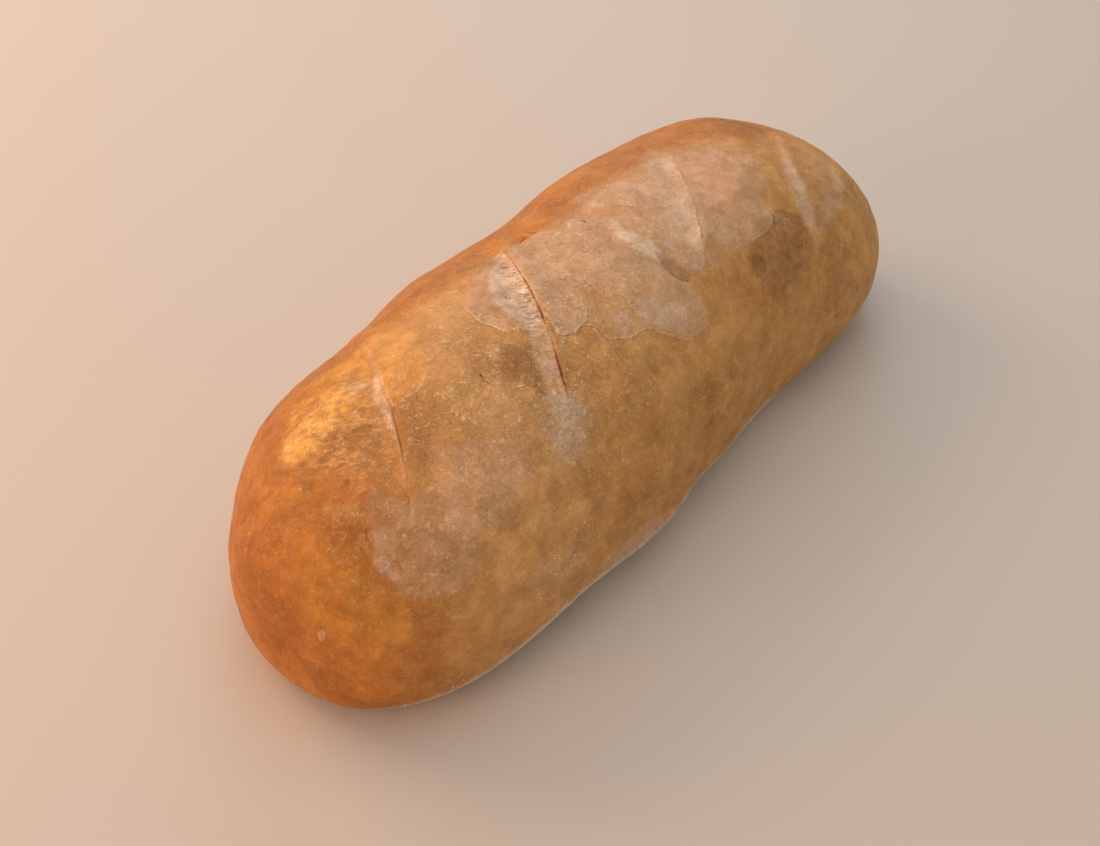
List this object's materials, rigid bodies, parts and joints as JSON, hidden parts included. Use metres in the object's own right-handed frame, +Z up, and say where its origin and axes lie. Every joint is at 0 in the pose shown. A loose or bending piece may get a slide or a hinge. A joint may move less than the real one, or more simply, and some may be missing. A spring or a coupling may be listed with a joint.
{
  "type": "french bread loaf",
  "caption": "Uncut french bread loaf: a long round-ended hearth loaf with a browned crust, slanting slashes over its crest and a flat floured base.",
  "frame": {"origin": "middle of the loaf's box, at the level of the flat base it lies on", "axes": "+X along the loaf towards its blunter end, +Y across it, +Z up out of the crest"},
  "size_m": [0.3188, 0.1308, 0.0917],
  "materials": {
    "crust": "matt browned bread crust with paler floury skins"
  },
  "bodies": {
    "root": {"loaf": "crust"}
  },
  "joints": []
}
